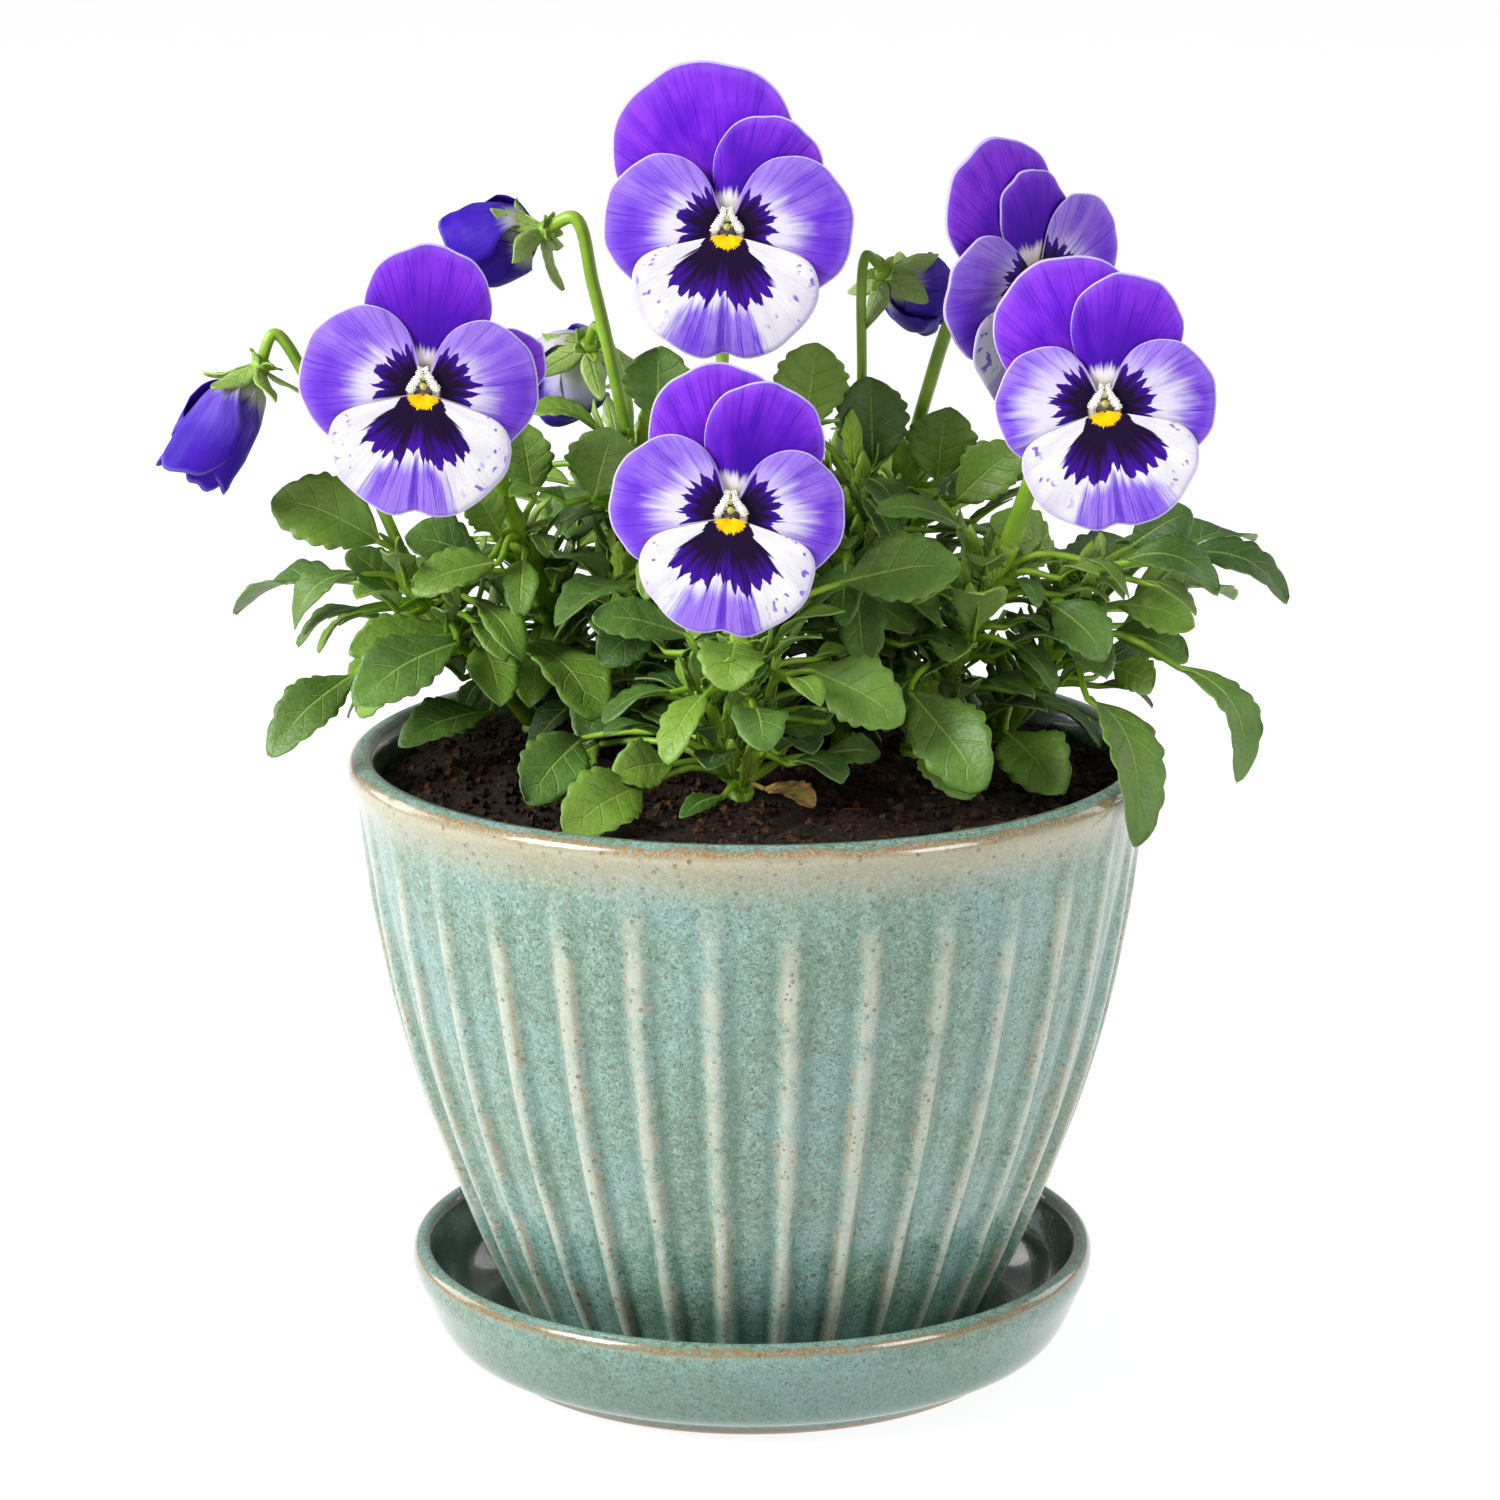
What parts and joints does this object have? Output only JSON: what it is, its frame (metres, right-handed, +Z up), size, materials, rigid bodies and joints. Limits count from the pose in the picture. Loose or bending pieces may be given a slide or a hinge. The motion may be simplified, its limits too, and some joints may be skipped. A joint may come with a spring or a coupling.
{
  "type": "potted pansy plant",
  "caption": "Flowering pansy with violet and white faces and scalloped leaves, growing in a fluted, celadon-glazed round pot that stands on a matching saucer.",
  "frame": {"origin": "centre of the flat underside of the saucer, on the surface it stands on", "axes": "+Z up along the pot's axis, which is the longest overall extent; -Y is the front, the side that the open flowers face; +X is to the right as seen from the front"},
  "size_m": [0.2769, 0.2134, 0.3252],
  "materials": {
    "pot_glaze": "glossy mottled celadon glaze, worn to cream on the rib crests, tan at the rim",
    "saucer_glaze": "glossy mottled celadon glaze, tan at the lip, bare clay under the foot",
    "compost": "moist dark crumbly potting compost",
    "leaf_green": "satin green leaf with paler veins, yellow-green stems",
    "petal_violet": "soft velvety petal, violet and white with a near-black blotch and yellow eye",
    "bud_violet": "soft violet-blue outer petal faces",
    "dry_leaf": "dry brown leaf"
  },
  "bodies": {
    "root": {"saucer": "saucer_glaze", "pot": "pot_glaze", "soil": "compost", "shoot_centre": "leaf_green", "shoot_tall": "leaf_green", "shoot_left": "leaf_green", "shoot_far_left": "leaf_green", "shoot_mid_left": "leaf_green", "shoot_mid_right": "leaf_green", "shoot_right": "leaf_green", "shoot_right_back": "leaf_green", "shoot_far_right": "leaf_green", "shoot_back_left": "leaf_green", "shoot_back_right": "leaf_green", "shoot_back": "leaf_green", "bloom_top": "petal_violet", "bloom_left": "petal_violet", "bloom_centre": "petal_violet", "bloom_right": "petal_violet", "bloom_behind": "petal_violet", "bud_far_left": "bud_violet", "bud_upper_left": "bud_violet", "bud_mid_left": "bud_violet", "bud_right": "bud_violet", "withered_leaf": "dry_leaf"}
  },
  "joints": []
}
